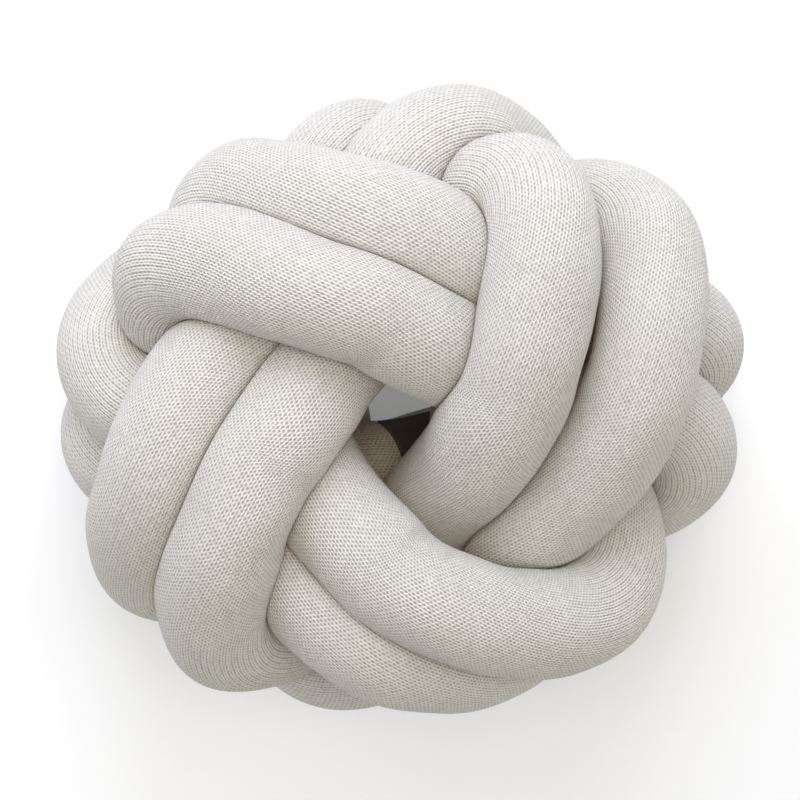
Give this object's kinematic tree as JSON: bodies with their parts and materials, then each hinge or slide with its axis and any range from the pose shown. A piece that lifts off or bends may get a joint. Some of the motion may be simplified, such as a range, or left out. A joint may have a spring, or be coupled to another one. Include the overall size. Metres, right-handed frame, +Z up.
{
  "type": "knot cushion",
  "caption": "Round knotted cushion of stuffed knitted tubes, led side by side over and under each other round a small square hole in the middle.",
  "frame": {"origin": "middle of the cushion's plan at the level it rests on", "axes": "+Z up out of the face with the square hole, +X to the picture's right, +Y to the picture's top"},
  "size_m": [0.3052, 0.2806, 0.172],
  "materials": {
    "knit": "off-white melange stocking-stitch knit, matt and slightly fluffy",
    "label": "plain dark woven ribbon, no lettering"
  },
  "bodies": {
    "root": {"tube_first": "knit", "tube_second": "knit", "label": "label"}
  },
  "joints": []
}
